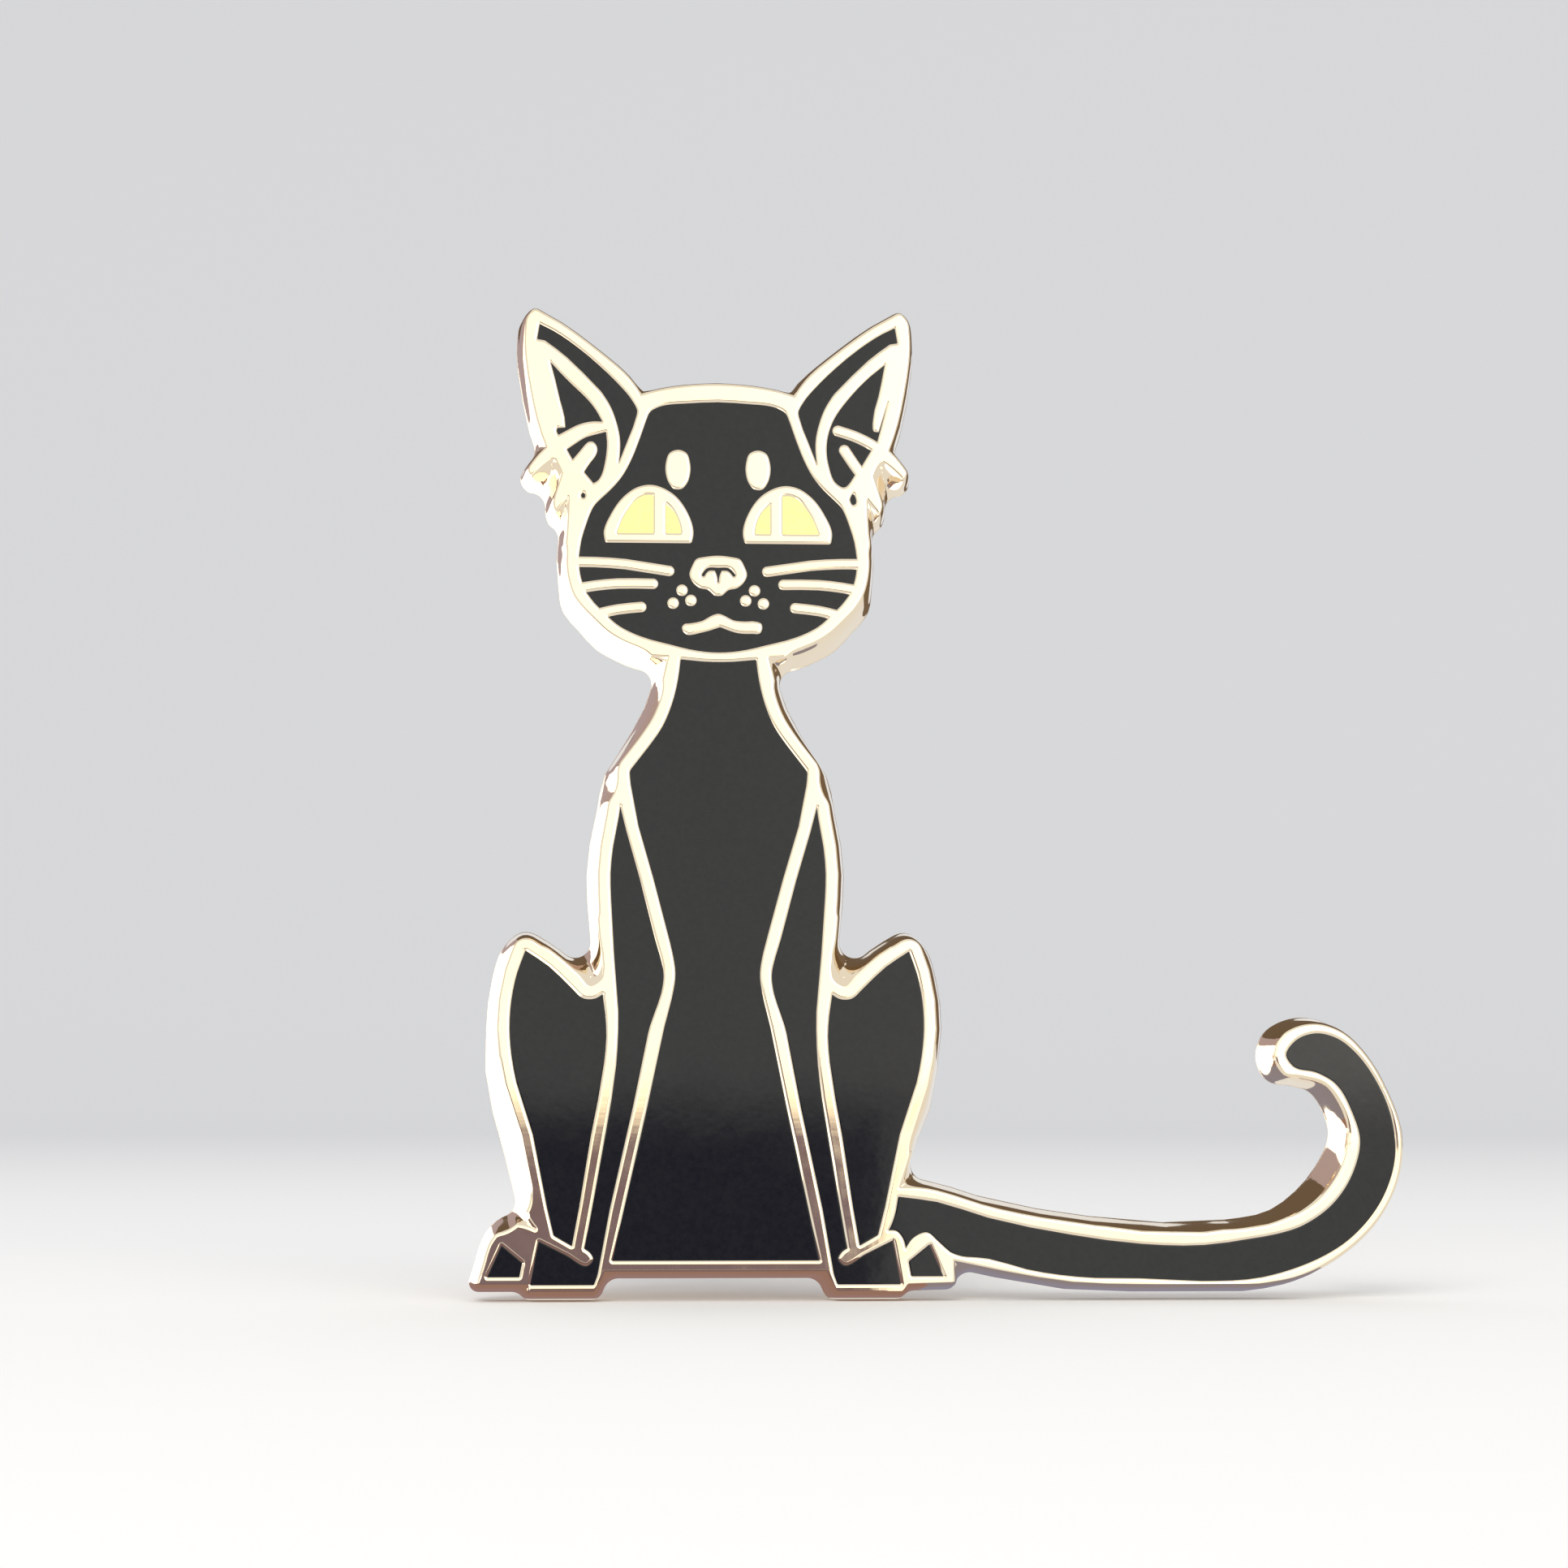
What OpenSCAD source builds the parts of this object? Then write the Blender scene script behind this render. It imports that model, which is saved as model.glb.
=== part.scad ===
// Enamel pin in the shape of a sitting cat, worn with two posts and butterfly clutches.
// X is to the right seen from the front, Z is up, and the front faces -Y.
// The origin lies on the plate's back face, midway between the two posts.

/* [Plate] */
// Thickness from the back face to the tops of the metal lines
plate_t = 1.5; // [1.3:0.1:1.9]
// Thickness of the wider foot at the back of the plate
foot_t = 0.75; // [0.5:0.05:0.9]
// How far the foot stands out past the metal lines
wall_flare = 0.3; // [0.1:0.05:0.35]
// Depth of the cells that hold the enamel
cell_depth = 0.4; // [0.2:0.05:0.5]
// How far the enamel lies below the metal lines
enamel_dip = 0.05; // [0.01:0.01:0.06]

/* [Drawing] */
// Width of the metal line that borders the drawing
line_w = 0.48; // [0.44:0.02:0.6]
// Width of the whisker lines
whisker_w = 0.4; // [0.3:0.05:0.45]
// Width of the hair tufts inside the ears
tuft_w = 0.42; // [0.3:0.02:0.46]
// Radius of the dots between the whiskers
dot_r = 0.22; // [0.16:0.02:0.24]
// Outward lean of the left side per millimetre below the origin
left_lean = 0.016; // [0:0.004:0.02]

/* [Posts] */
// Distance between the two posts
post_gap = 21.5; // [20:0.5:22]
// Length of each post behind the plate
post_len = 8; // [7.5:0.25:9]
// Radius of the shoulder that passes through the cloth
shoulder_r = 0.65; // [0.6:0.05:0.7]
// Length of the shoulder
shoulder_len = 2.2; // [1.5:0.1:2.2]
// Radius of the shank beyond the shoulder
shank_r = 0.48; // [0.4:0.02:0.5]
// Radius of the flange let into the back of the plate
flange_r = 2; // [1.5:0.1:2.5]

/* [Clutches] */
// Outer radius of the cup
cup_r = 5; // [4.8:0.1:5.4]
// Height of the cup
cup_h = 1.9; // [1.7:0.05:2]
// Distance from the plate's back face to the cup, taken up by cloth
cloth_gap = 2.6; // [2.4:0.1:3]
// Thickness of the cup's sheet metal
cup_t = 0.3; // [0.25:0.05:0.35]
// Thickness of the spring strip
strip_t = 0.25; // [0.2:0.05:0.25]
// Width of the spring strip
strip_w = 4; // [3.8:0.1:4]
// Distance from the post to each fold of the spring
fold_x = 3.4; // [3.3:0.1:3.5]
// Reach of each wing from the post
wing_reach = 7.4; // [7:0.1:7.6]

/* [Hidden] */
NODES = [
    "metal_plate", "face_enamel",
    "left_ear_strip", "right_ear_strip", "left_inner_ear", "right_inner_ear",
    "left_eye_outer", "left_eye_inner", "right_eye_outer", "right_eye_inner",
    "nostril_enamel", "chest_enamel", "left_leg_enamel", "right_leg_enamel",
    "left_haunch_enamel", "right_haunch_enamel", "left_back_paw", "right_back_paw", "tail_enamel",
    "top_post", "bottom_post",
    "top_clutch_cup", "top_clutch_spring", "top_clutch_window_wing", "top_clutch_neck_wing",
    "bottom_clutch_cup", "bottom_clutch_spring", "bottom_clutch_window_wing", "bottom_clutch_neck_wing"
];
$fn = 48;

floor_t = plate_t - cell_depth;
enamel_top = plate_t - enamel_dip;
top_z = post_gap / 2;
bottom_z = -post_gap / 2;
recess_gap = 0.05;
notch_fill = 0.6;
line_blend = 1.5;
nostril_w = 0.12;
flange_t = 0.3;
bend_step = 9;
gold = "gold";
black = "#15161a";
lime = "#e9f08a";

// ---- Outlines in the X-Z plane. A point [x, z] is passed smoothly. A point [x, z, r] is a corner
// ---- softened by r. Each list runs clockwise seen from the front.

head_top = [[1.35, 16.2], [2.25, 16.05], [2.95, 15.85, 0]];

ear_outside = [
    [3.45, 16.55], [4.35, 17.35], [5.45, 18.2], [6.65, 18.95], [7.05, 19.12], [7.32, 18.85],
    [7.42, 18.3], [7.4, 17.25], [7.2, 15.95], [6.95, 14.8], [6.6, 13.75, 0]
];

side_tufts = [
    [7.1, 13.2], [7.28, 12.85], [7.12, 12.6, 0.08], [6.6, 13.1], [6.35, 13.25], [6, 12.75, 0],
    [6.2, 12.1], [6.32, 11.6], [6.2, 11.2, 0.1], [5.75, 11.8, 0]
];

cheek = [
    [5.8, 10.5], [5.87, 9.6], [5.8, 8.7], [5.65, 7.8], [5.1, 7.15], [4.45, 6.45], [3.75, 6.05],
    [3, 5.75], [1.95, 5.65, 0]
];

flank = [
    [2.15, 4.8], [2.5, 3.8], [3, 2.85], [3.65, 1.8], [4, 1.25], [4.3, -0.1], [4.55, -1.4],
    [4.65, -2.6], [4.6, -3.65], [4.45, -5.15], [4.3, -6.15], [4.4, -6.65], [4.75, -6.85], [5.25, -6.4]
];

haunch_upper = [
    [5.65, -6.05], [6.6, -5.35], [7.3, -5.05], [7.8, -5.45], [8.2, -6.55], [8.4, -8.5]
];

right_haunch_lower = [
    [8.25, -9.9], [7.95, -11.45], [7.45, -12.65], [7.05, -13.9], [6.85, -14.5, 0]
];

left_haunch_lower = [
    [8.4, -10.05], [8.1, -11.6], [7.6, -13.3], [7.15, -15], [6.95, -15.7], [6.7, -16.05, 0]
];

tail_outside = [
    [7.9, -14.55], [9.95, -15.15], [12.25, -15.65], [14.3, -15.95], [17.2, -16.2], [19.65, -16.1],
    [21.55, -15.7], [22.6, -14.95], [23.45, -13.95], [24.05, -12.5], [23.7, -11.3], [23.15, -10.6],
    [22.3, -10.35], [21.55, -10.2], [21.25, -9.6], [21.45, -8.85], [22.1, -8.42], [22.9, -8.3],
    [23.85, -8.6], [24.8, -9.5], [25.6, -10.9], [26.1, -12.4], [26, -14], [25.15, -15.75],
    [23.7, -17.1], [21.85, -18], [20.3, -18.25], [15.95, -18.25], [13.4, -18.15], [10.75, -17.7],
    [8.9, -17.3, 0]
];

right_back_foot = [[8.9, -18.15, 0.1], [7.15, -18.2, 0.05]];

left_back_foot = [
    [7.1, -15.9], [7.6, -15.85], [8.05, -16.1], [8.4, -16.55], [8.65, -17.35], [8.9, -18.2, 0.1],
    [6.95, -18.2, 0.05]
];

front_foot = [[6.95, -18.5, 0.1], [4.4, -18.5, 0.1], [4.05, -17.7, 0]];

head_cell = [
    [1.35, 15.5], [2.25, 15.37], [2.6, 15.17], [2.78, 14.78], [3.2, 13.6], [3.65, 12.7], [4.2, 12.05],
    [4.75, 11.5], [5.05, 10.8], [5.33, 9.55], [5.3, 8.95], [5.05, 8.15], [4.4, 7.4], [3.85, 6.9],
    [2.95, 6.46], [1.8, 6.15], [1.1, 5.98], [0.5, 5.89]
];

brow = [
    [1.535, 13.7], [1.85, 13.58], [2, 13.2], [2, 12.75], [1.88, 12.4], [1.7, 12.19], [1.4, 12.19],
    [1.2, 12.4], [1.08, 12.75], [1.08, 13.2], [1.22, 13.58]
];

eye_rim = [
    [2.65, 12.33], [3.1, 12.23], [3.55, 11.93], [4.1, 11.2], [4.38, 10.45], [4.32, 10.08, 0.08],
    [1.03, 10.08, 0.08], [0.96, 10.35], [1.22, 11.35], [1.75, 12]
];

eye_large_cell = [
    [2.48, 11.92, 0.04], [2.75, 11.93], [3.1, 11.78], [3.4, 11.42], [3.65, 11.02],
    [3.87, 10.46, 0.05], [2.48, 10.46, 0.04]
];

eye_small_cell = [[1.7, 11.3], [2, 11.6, 0.04], [2, 10.46, 0.04], [1.42, 10.46, 0.05], [1.5, 10.9]];

nose_side = [
    [0.55, 9.55], [0.82, 9.48], [1, 9.2], [1.1, 8.85], [0.97, 8.57], [0.7, 8.35], [0.4, 8.28],
    [0.15, 8.05, 0.1]
];

nostrils = [[-0.57, 8.86], [-0.42, 9.05], [0, 9.08], [0.42, 9.05], [0.6, 8.86]];

nose_cleft = [[-0.15, 9.06], [0.15, 9.06], [0.05, 8.82], [0.025, 8.58], [-0.025, 8.58], [-0.05, 8.82]];

mouth = [
    [-1.39, 6.84], [-1.3, 6.95], [-1.1, 6.98], [-0.58, 7.1], [-0.27, 7.28], [0.01, 7.36], [0.25, 7.28],
    [0.56, 7.12], [0.97, 7.07], [1.48, 7.06], [1.64, 6.99], [1.68, 6.8], [1.6, 6.63], [1.28, 6.6],
    [0.71, 6.63], [0.35, 6.74], [0.07, 6.85, 0.05], [-0.38, 6.7], [-0.89, 6.57], [-1.2, 6.55],
    [-1.34, 6.66]
];

whiskers = [
    [[1.88, 9], [3.55, 9.25], [5.9, 9.35]],
    [[2.5, 8.5], [3.85, 8.5], [5.9, 8.25]],
    [[2.95, 7.6], [3.85, 7.5], [5.4, 7.15]]
];

whisker_dots = [[1.39, 8.26], [1.05, 7.87], [1.73, 7.76]];

ear_strip = [
    [6.85, 18.55, 0.05], [6.95, 17.95, 0.05], [6.65, 17.9, 0], [5.8, 17.25], [5.15, 16.6],
    [4.55, 16], [4.15, 15.4], [3.9, 14.75], [3.77, 14.15], [3.8, 13.2, 0.02], [3.45, 14.1],
    [3.13, 15], [3.1, 15.2], [3.2, 15.45], [3.65, 16.05], [4.55, 16.95], [5.45, 17.7], [6.35, 18.3]
];

inner_ear = [
    [6.45, 17.1, 0.02], [6.2, 15.85], [5.97, 14.8], [6.02, 14.5], [6.2, 14.47, 0], [6.55, 15.6, 0],
    [6.15, 14.1, 0.03], [5.85, 13.65, 0.03], [5.55, 13.15, 0.03], [5.25, 12.75, 0.03], [4.8, 12.3],
    [4.55, 12.45], [4.27, 13.1], [4.2, 14.05], [4.45, 14.9], [5, 15.7], [5.9, 16.65]
];

long_tuft = [[4.62, 14.5], [5.25, 14.3], [6.25, 13.8]];
short_tuft = [[4.87, 13.75], [5.2, 13.25], [5.7, 12.55]];
ear_drop = [[5.2, 12.05], [5.3, 11.9], [5.28, 11.65], [5.2, 11.62], [5.08, 11.8]];

left_ear_upper = [
    [6.43, 17.06, 0.02], [6.06, 16.66], [5.67, 16.27], [5.17, 15.8], [4.86, 15.45], [4.6, 15.07],
    [4.44, 14.76, 0.03], [4.74, 14.77], [5.09, 14.72], [5.44, 14.6], [5.67, 14.48], [6.12, 14.23, 0.03],
    [6.19, 14.38], [6.17, 14.5, 0.03], [5.86, 14.52, 0.03], [5.89, 14.91], [6.06, 15.57], [6.25, 16.38]
];

left_ear_lower = [
    [4.3, 14.37, 0.02], [4.26, 13.98], [4.28, 13.55], [4.36, 13.09], [4.47, 12.7], [4.6, 12.49],
    [4.78, 12.37, 0.03], [5.14, 12.8, 0.05], [4.9, 13.17], [4.7, 13.44], [4.63, 13.67], [4.69, 13.87],
    [4.82, 13.98], [4.94, 13.98], [5.13, 13.83], [5.32, 13.59], [5.58, 13.28, 0.03],
    [5.8, 13.67, 0.03], [5.36, 13.98], [5.09, 14.14], [4.82, 14.23]
];

left_ear_drop = [[5.16, 12], [5.25, 11.92], [5.22, 11.81], [5.13, 11.8], [5.09, 11.9]];

// Height above which the raised metal reaches the silhouette: the head's top, the ears and the tufts
solid_above = 11.2;

chest_side = [
    [0.6, 5.52], [1.45, 5.6, 0.05], [1.5, 5.15], [1.7, 4.15], [2.15, 3], [2.7, 2.2],
    [3.4, 1.3, 0.12], [3.35, 0.75], [3.05, -0.8], [2.45, -2.8], [1.9, -4.8], [1.56, -6.4],
    [1.95, -8.45], [2.55, -11.45], [3.2, -14.5], [3.78, -17.25, 0.03]
];

leg = [
    [3.75, -0.05, 0.03], [3.8, -0.45], [4, -1.6], [4.08, -2.6], [4.05, -3.5], [3.9, -5.65],
    [3.7, -7.85], [3.75, -9.9], [4.1, -12.4], [4.5, -14.85], [4.83, -16.8, 0.03], [4.62, -16.95],
    [4.5, -17.18], [4.65, -17.38], [5.55, -17], [6.55, -16.5, 0.03], [6.65, -17], [6.85, -18.15, 0.05],
    [4.45, -18.15, 0.05], [4.3, -17.7], [3.9, -15.35], [3.1, -11.55], [2.55, -8.65], [2, -6.45],
    [2.35, -5.1], [2.95, -2.85], [3.5, -1]
];

haunch_cell = [
    [7.25, -5.55, 0.05], [7.55, -6.4], [7.8, -8.5], [7.5, -10.55], [6.85, -12.5], [6.27, -15.25],
    [6, -16.3, 0.05], [5.3, -16.7, 0.05], [5.05, -15.25], [4.65, -12.55], [4.2, -9.8], [4.13, -8.8],
    [4.3, -7.2, 0.03], [4.6, -7.37], [5, -7.37], [5.5, -6.95], [6.35, -6.15]
];

back_paw_cell = [
    [7.95, -16.65, 0.03], [8.47, -17.85, 0.03], [7.25, -17.85, 0.05], [7.15, -17.3, 0.05]
];

tail_cell = [
    [6.77, -14.85, 0.05], [8.25, -15.05], [10.2, -15.65], [13.4, -16.3], [16.05, -16.65],
    [18.45, -16.7], [20.3, -16.45], [22.15, -16], [23.4, -15.15], [24.25, -13.85], [24.5, -12.7],
    [24.25, -11.75], [23.5, -10.5], [22.85, -10.15], [21.95, -9.9], [21.7, -9.5], [22.05, -8.95],
    [22.85, -8.65], [23.7, -8.85], [24.4, -9.4], [25.1, -10.35], [25.75, -11.95], [25.85, -13.3],
    [25.3, -15], [23.95, -16.55], [22.15, -17.5], [20.65, -17.92], [15.95, -17.95], [14.25, -17.93],
    [11.65, -17.6], [10.2, -17.2], [8.75, -16.95], [8.3, -16.55], [7.85, -16.2], [7.35, -16.4],
    [7.05, -16.8, 0], [6.9, -16.35], [6.7, -16.15], [6.4, -16.12, 0], [6.57, -15.75]
];

// ---- Curves

function unit(v) = v / norm(v);
function turn(a, b) = acos(max(-1, min(1, unit(a) * unit(b))));
function spot(p) = [p[0], p[1]];
function is_corner(p) = len(p) == 3;
function next(p, i) = (i + 1) % len(p);
function prev(p, i) = (i + len(p) - 1) % len(p);

// Direction of the curve at a smooth point, weighted by the lengths of its two neighbours
function heading(p, i) =
    let (back = spot(p[i]) - spot(p[prev(p, i)]), ahead = spot(p[next(p, i)]) - spot(p[i]))
    (back / norm(back) * norm(ahead) + ahead / norm(ahead) * norm(back)) / (norm(back) + norm(ahead));

// One stretch of the curve, as its start, its end and the slopes there
function stretch(p, i) =
    let (
        j = next(p, i),
        a = spot(p[i]),
        b = spot(p[j]),
        chord = b - a,
        from_smooth = is_corner(p[i]) ? chord : heading(p, i) * norm(chord),
        to_smooth = is_corner(p[j]) ? chord : heading(p, j) * norm(chord),
        slope_a = is_corner(p[i]) && !is_corner(p[j]) ? 1.5 * chord - 0.5 * to_smooth : from_smooth,
        slope_b = is_corner(p[j]) && !is_corner(p[i]) ? 1.5 * chord - 0.5 * from_smooth : to_smooth
    )
    [a, b, slope_a, slope_b];

function along(s, t) =
    s[0] * (1 + 2 * t) * (1 - t) * (1 - t) + s[1] * t * t * (3 - 2 * t)
    + s[2] * t * (1 - t) * (1 - t) - s[3] * t * t * (1 - t);

// The corner at point i, rounded by a short arc
function rounded(p, i) =
    let (
        c = spot(p[i]),
        came = stretch(p, prev(p, i)),
        goes = stretch(p, i),
        r = min(p[i][2], 0.4 * norm(came[1] - came[0]), 0.4 * norm(goes[1] - goes[0])),
        a = c - unit(came[3]) * r,
        b = c + unit(goes[2]) * r
    )
    r > 0 ? [for (t = [0 : 1 / 3 : 1.01]) a * (1 - t) * (1 - t) + c * 2 * t * (1 - t) + b * t * t] : [c];

function softness(p) = is_corner(p) ? p[2] * 1.2 : 0;

// The points of stretch i, from its start up to its end
function samples(p, i) =
    let (
        s = stretch(p, i),
        steps = max(1, ceil((turn(s[2], s[1] - s[0]) + turn(s[1] - s[0], s[3])) / bend_step))
    )
    concat(
        is_corner(p[i]) ? rounded(p, i) : [s[0]],
        [
            for (k = [1 : 1 : steps - 1])
                let (q = along(s, k / steps))
                if (norm(q - s[0]) > softness(p[i]) && norm(q - s[1]) > softness(p[next(p, i)])) q
        ]
    );

function curve(p) = [for (i = [0 : len(p) - 1]) each samples(p, i)];

// A line of constant width with round ends through the points
function line_path(p) =
    let (
        last = len(p) - 1,
        q = [for (i = [0 : last]) i == 0 || i == last ? [p[i][0], p[i][1], 0] : p[i]]
    )
    concat([for (i = [0 : last - 1]) each samples(q, i)], [spot(p[last])]);

function side_of(path, i) =
    let (
        last = len(path) - 1,
        d = unit(path[min(i + 1, last)] - path[max(i - 1, 0)])
    )
    [-d[1], d[0]];

function end_cap(centre, normal, w) =
    let (a = atan2(normal[1], normal[0]))
    [for (k = [1 : 7]) centre + w / 2 * [cos(a - k * 22.5), sin(a - k * 22.5)]];

function thick_line(p, w) =
    let (path = line_path(p), last = len(path) - 1)
    concat(
        [for (i = [0 : last]) path[i] + side_of(path, i) * w / 2],
        end_cap(path[last], side_of(path, last), w),
        [for (i = [last : -1 : 0]) path[i] - side_of(path, i) * w / 2],
        end_cap(path[0], -side_of(path, 0), w)
    );

// The same points on the left side, which leans outward a little below the origin
function left_point(p) =
    let (x = -p[0] - left_lean * max(0, -p[1]))
    is_corner(p) ? [x, p[1], p[2]] : [x, p[1]];
function left(p) = [for (i = [len(p) - 1 : -1 : 0]) left_point(p[i])];

// ---- Flat shapes

module silhouette() {
    right_side = concat(
        head_top, ear_outside, side_tufts, cheek, flank, haunch_upper,
        right_haunch_lower, tail_outside, right_back_foot, front_foot
    );
    left_side = concat(
        left(front_foot), left(concat(left_haunch_lower, left_back_foot)),
        left(concat(head_top, ear_outside, side_tufts, cheek, flank, haunch_upper))
    );
    polygon(curve(concat(right_side, left_side)));
}

module on_side(side, p) {
    polygon(curve(side == "left" ? left(p) : p));
}

module both_sides() {
    children();
    mirror([1, 0]) children();
}

module face_metal() {
    both_sides() {
        polygon(curve(brow));
        polygon(curve(eye_rim));
        for (w = whiskers) polygon(thick_line(w, whisker_w));
        for (d = whisker_dots) translate(d) circle(dot_r, $fn = 24);
    }
    polygon(curve(concat(nose_side, left(nose_side))));
    polygon(curve(mouth));
}

// Outline of one enamel cell by its node's name
module cell(name) {
    side = name[0] == "l" ? "left" : "right";
    if (name == "face_enamel") {
        offset(delta = 0) difference() {
            polygon(curve(concat(head_cell, left(head_cell))));
            face_metal();
        }
    }
    if (name == "left_ear_strip" || name == "right_ear_strip") on_side(side, ear_strip);
    if (name == "right_inner_ear") {
        offset(delta = 0) difference() {
            on_side(side, inner_ear);
            polygon(thick_line(long_tuft, tuft_w));
            polygon(thick_line(short_tuft, tuft_w));
        }
        on_side(side, ear_drop);
    }
    if (name == "left_inner_ear") {
        on_side(side, left_ear_upper);
        on_side(side, left_ear_lower);
        on_side(side, left_ear_drop);
    }
    if (name == "left_eye_outer" || name == "right_eye_outer") on_side(side, eye_large_cell);
    if (name == "left_eye_inner" || name == "right_eye_inner") on_side(side, eye_small_cell);
    if (name == "nostril_enamel") {
        offset(delta = 0) union() {
            polygon(thick_line(nostrils, nostril_w));
            polygon(nose_cleft);
        }
    }
    if (name == "chest_enamel") polygon(curve(concat(chest_side, left(chest_side))));
    if (name == "left_leg_enamel" || name == "right_leg_enamel") on_side(side, leg);
    if (name == "left_haunch_enamel" || name == "right_haunch_enamel") on_side(side, haunch_cell);
    if (name == "left_back_paw" || name == "right_back_paw") on_side(side, back_paw_cell);
    if (name == "tail_enamel") polygon(curve(tail_cell));
}

CELLS = [for (i = [1 : 18]) NODES[i]];
EYES = [for (i = [6 : 9]) NODES[i]];

// Everything that stands at the height of the metal lines, with the cells not yet cut
module raised_area() {
    intersection() {
        silhouette();
        offset(r = -line_blend, $fn = 36) offset(r = line_w + line_blend, $fn = 36) {
            polygon(curve(concat(head_cell, left(head_cell))));
            for (name = CELLS) if (name != "face_enamel") cell(name);
            translate([-10, solid_above + line_w]) square([20, 10]);
        }
    }
}

// The foot follows the silhouette at a distance and fills its narrow notches
module foot_area() {
    offset(r = -notch_fill, $fn = 24) offset(r = wall_flare + notch_fill, $fn = 24) silhouette();
}

module slab(back, front) {
    translate([0, -back, 0]) rotate([90, 0, 0]) linear_extrude(front - back) children();
}

// ---- Plate and enamel

module metal_plate() {
    color(gold) difference() {
        union() {
            slab(0, foot_t) foot_area();
            slab(0, floor_t) silhouette();
            slab(floor_t, plate_t) offset(delta = 0) difference() {
                raised_area();
                for (name = CELLS) cell(name);
            }
        }
        for (z = [top_z, bottom_z])
            translate([0, 0.1, z]) rotate([90, 0, 0]) cylinder(r = flange_r + recess_gap, h = flange_t + 0.1);
    }
}

module enamel(name) {
    is_eye = is_num(search([name], EYES)[0]);
    color(is_eye ? lime : black) slab(floor_t, enamel_top) cell(name);
}

// ---- Posts, each standing in its recess and pointing back along +Y

module post(z) {
    tip_len = 1.2;
    tip_r = 0.12;
    color(gold) translate([0, -flange_t, z]) rotate([-90, 0, 0]) {
        cylinder(r = flange_r, h = flange_t);
        translate([0, 0, flange_t]) {
            cylinder(r = shoulder_r, h = shoulder_len);
            translate([0, 0, shoulder_len]) cylinder(r = shank_r, h = post_len - tip_len - shoulder_len);
            translate([0, 0, post_len - tip_len]) cylinder(r1 = shank_r, r2 = tip_r, h = tip_len);
        }
    }
}

// ---- Butterfly clutch, drawn about the post's axis as +Z with its wings along X

pass_r = 0.75;
edge_r = 0.6;
lip_w = 0.3;
lip_t = 0.25;
bead_r = 0.2;
curl_gap = 0.05;
seat_gap = 0.05;
window_r = 1.35;
neck_r = 1.1;
slot_r = 0.6;
crossing = 1.7;
wing_rise = 10.2;
wing_lift = 26;
clear_h = 9;
spring_y = cup_t + seat_gap;
fold_y = spring_y + bead_r + curl_gap + strip_t;

module clutch_frame(z, turned) {
    translate([0, cloth_gap, z]) rotate([-90, 0, 0]) rotate([0, 0, turned]) children();
}

function arc(c, r, a0, a1, n) = [for (k = [0 : n]) let (a = a0 + (a1 - a0) * k / n) c + r * [cos(a), sin(a)]];

module cup() {
    inner_r = cup_r - cup_t;
    color(gold) rotate_extrude($fn = 96) polygon(concat(
        [[pass_r, 0]],
        arc([cup_r - edge_r, edge_r], edge_r, -90, 0, 6),
        [[cup_r, cup_h], [inner_r - lip_w, cup_h]],
        [[inner_r - lip_w, cup_h - lip_t], [inner_r, cup_h - lip_t]],
        arc([cup_r - edge_r, edge_r], edge_r - cup_t, 0, -90, 6),
        [[pass_r, cup_t]]
    ));
}

// Strip with a curl at each end that wraps the root bead of a wing
module spring_base() {
    curl_in = bead_r + curl_gap;
    color(gold) difference() {
        rotate([90, 0, 0]) translate([0, 0, -strip_w / 2]) linear_extrude(strip_w) polygon(concat(
            arc([fold_x, fold_y], curl_in + strip_t, -90, 70, 8),
            arc([fold_x, fold_y], curl_in, 70, -90, 8),
            arc([-fold_x, fold_y], curl_in, 270, 110, 8),
            arc([-fold_x, fold_y], curl_in + strip_t, 110, 270, 8)
        ));
        cylinder(r = pass_r, h = fold_y);
    }
}

// Strip that rises from its root bead, crosses the post and ends in a finger wing
module wing_strip() {
    knee = cup_r - 0.3;
    knee_y = fold_y + (knee + fold_x) * tan(wing_rise);
    tip_y = knee_y + (wing_reach - knee) * tan(wing_lift);
    path = [[-fold_x, fold_y], [knee - 0.5, knee_y - 0.5 * tan(wing_rise)],
        [knee, knee_y + 0.04], [knee + 0.5, knee_y + 0.5 * tan(wing_lift)], [wing_reach, tip_y]];
    last = len(path) - 1;
    rotate([90, 0, 0]) translate([0, 0, -strip_w / 2]) {
        translate([-fold_x, fold_y, 0]) cylinder(r = bead_r, h = strip_w);
        linear_extrude(strip_w) polygon(concat(
            [for (i = [0 : last]) path[i] + side_of(path, i) * strip_t / 2],
            [for (i = [last : -1 : 0]) path[i] - side_of(path, i) * strip_t / 2]
        ));
    }
}

module wing_end() {
    translate([wing_reach - strip_w / 2, 0, 0]) cylinder(r = strip_w / 2, h = clear_h);
}

module long_slot(r, half) {
    translate([-half, -r, -1]) cube([2 * half, 2 * r, clear_h + 2]);
}

// The wing with a wide window, which the other wing's neck passes through
module window_wing() {
    color(gold) difference() {
        intersection() {
            wing_strip();
            union() {
                wing_end();
                translate([-fold_x - 1, -strip_w / 2, 0])
                    cube([fold_x + 1 + wing_reach - strip_w / 2, strip_w, clear_h]);
            }
        }
        long_slot(window_r, crossing);
    }
}

// The wing with a narrow neck, slotted for the post
module neck_wing() {
    flared_x = crossing - 0.2;
    color(gold) mirror([1, 0, 0]) difference() {
        intersection() {
            wing_strip();
            union() {
                wing_end();
                translate([flared_x, -strip_w / 2, 0])
                    cube([wing_reach - strip_w / 2 - flared_x, strip_w, clear_h]);
                translate([-flared_x - 1, -neck_r, 0]) cube([2 * flared_x + 2, 2 * neck_r, clear_h]);
                translate([-fold_x - 1, -strip_w / 2, 0]) cube([fold_x + 1 - flared_x, strip_w, clear_h]);
            }
        }
        long_slot(slot_r, 1);
    }
}

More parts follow.
